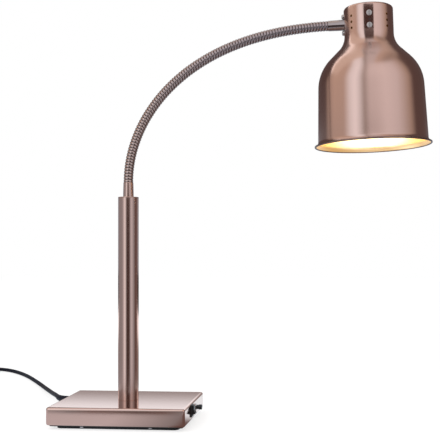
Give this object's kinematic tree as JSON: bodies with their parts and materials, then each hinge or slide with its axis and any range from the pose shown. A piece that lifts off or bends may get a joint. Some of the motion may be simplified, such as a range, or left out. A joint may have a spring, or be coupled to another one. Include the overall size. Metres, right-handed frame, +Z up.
{
  "type": "flexible neck food heat lamp",
  "caption": "Counter-top food heat lamp: box base with rocker switch and dimmer, upright column, ribbed flexible neck and a bell shade over a reflector heat bulb.",
  "frame": {"origin": "on the table, under the column's axis, in the middle of the rubber pad's underside", "axes": "+X along the arm from the column to the shade, +Y to the back, +Z up"},
  "size_m": [1.1026, 0.6386, 0.64],
  "materials": {
    "copper_steel": "steel plated a rose copper colour, brushed and lacquered",
    "copper_aluminium": "spun aluminium plated a rose copper colour, semi-gloss outside, bright inside",
    "plain_steel": "zinc plated steel",
    "bright_steel": "nickel plated screws and nuts",
    "black_rubber": "matt black rubber and flexible PVC",
    "black_plastic": "moulded black plastic, satin",
    "white_lead": "heat-proof white sleeve over the wires",
    "brass_parts": "nickel plated brass",
    "white_ceramic": "white glazed ceramic",
    "bulb_glass": "frosted reflector bulb glass"
  },
  "bodies": {
    "base": {"base_housing": "copper_steel", "bottom_plate": "plain_steel", "base_pad": "black_rubber", "plate_screws": "bright_steel", "ballast_plate": "plain_steel", "ballast_nuts": "bright_steel", "column_tube": "copper_steel", "column_base_plug": "plain_steel", "column_washer": "plain_steel", "column_lock_nut": "plain_steel", "column_cap": "copper_steel", "column_lead": "white_lead", "lower_ferrule": "copper_steel", "neck_link_01": "copper_steel", "neck_lead_01": "white_lead", "switch_body": "black_plastic", "switch_terminals": "brass_parts", "dimmer_body": "black_plastic", "dimmer_nut": "bright_steel", "cord_strain_relief": "black_rubber", "gland_nut": "plain_steel", "mains_lead": "black_rubber", "power_cord": "black_rubber", "power_cord_coil": "black_rubber", "power_cord_tail": "black_rubber", "plug_body": "black_rubber", "plug_pins": "brass_parts", "terminal_block": "white_ceramic", "terminal_screws": "bright_steel", "base_wires": "white_lead"},
    "rocker": {"rocker": "black_plastic"},
    "dimmer": {"dimmer_shaft": "brass_parts", "dimmer_knob": "black_plastic"},
    "neck_2": {"neck_link_02": "copper_steel", "neck_lead_02": "white_lead"},
    "neck_3": {"neck_link_03": "copper_steel", "neck_lead_03": "white_lead"},
    "neck_4": {"neck_link_04": "copper_steel", "neck_lead_04": "white_lead"},
    "neck_5": {"neck_link_05": "copper_steel", "neck_lead_05": "white_lead"},
    "neck_6": {"neck_link_06": "copper_steel", "neck_lead_06": "white_lead"},
    "neck_7": {"neck_link_07": "copper_steel", "neck_lead_07": "white_lead"},
    "head": {"neck_link_08": "copper_steel", "neck_lead_08": "white_lead", "head_sleeve": "copper_steel", "head_lead": "white_lead", "shade": "copper_aluminium", "arm_bracket": "plain_steel", "arm_screws": "bright_steel", "holder_bracket": "plain_steel", "bracket_screws": "bright_steel", "lampholder_body": "white_ceramic", "lampholder_shell": "brass_parts", "lampholder_contact": "brass_parts", "holder_nut": "bright_steel", "bulb_envelope": "bulb_glass", "bulb_cap": "brass_parts"}
  },
  "joints": [
    {"name": "rocker_tilt", "type": "hinge", "parent": "base", "child": "rocker", "pos_m": [0.1025, -0.0245, 0.0215], "axis": [0, 1, 0], "range_deg": [0, 24]},
    {"name": "dimmer_turn", "type": "hinge", "parent": "base", "child": "dimmer", "pos_m": [0.11, 0.008, 0.021], "axis": [1, 0, 0], "range_deg": [0, 300]},
    {"name": "neck_bend_1", "type": "hinge", "parent": "base", "child": "neck_2", "pos_m": [0.00783, 0, 0.42718], "axis": [0, 1, 0], "range_deg": [-18, 18]},
    {"name": "neck_swing_2", "type": "hinge", "parent": "neck_2", "child": "neck_3", "pos_m": [0.03, 0, 0.47684], "axis": [-0.8522, 0, 0.5231], "range_deg": [-18, 18]},
    {"name": "neck_bend_3", "type": "hinge", "parent": "neck_3", "child": "neck_4", "pos_m": [0.06367, 0, 0.51958], "axis": [0, 1, 0], "range_deg": [-18, 18]},
    {"name": "neck_swing_4", "type": "hinge", "parent": "neck_4", "child": "neck_5", "pos_m": [0.10587, 0, 0.55398], "axis": [-0.5491, 0, 0.8358], "range_deg": [-18, 18]},
    {"name": "neck_bend_5", "type": "hinge", "parent": "neck_5", "child": "neck_6", "pos_m": [0.15386, 0, 0.57973], "axis": [0, 1, 0], "range_deg": [-18, 18]},
    {"name": "neck_swing_6", "type": "hinge", "parent": "neck_6", "child": "neck_7", "pos_m": [0.20543, 0, 0.59732], "axis": [-0.251, 0, 0.968], "range_deg": [-18, 18]},
    {"name": "neck_bend_7", "type": "hinge", "parent": "neck_7", "child": "head", "pos_m": [0.25893, 0, 0.60775], "axis": [0, 1, 0], "range_deg": [-18, 18]}
  ]
}
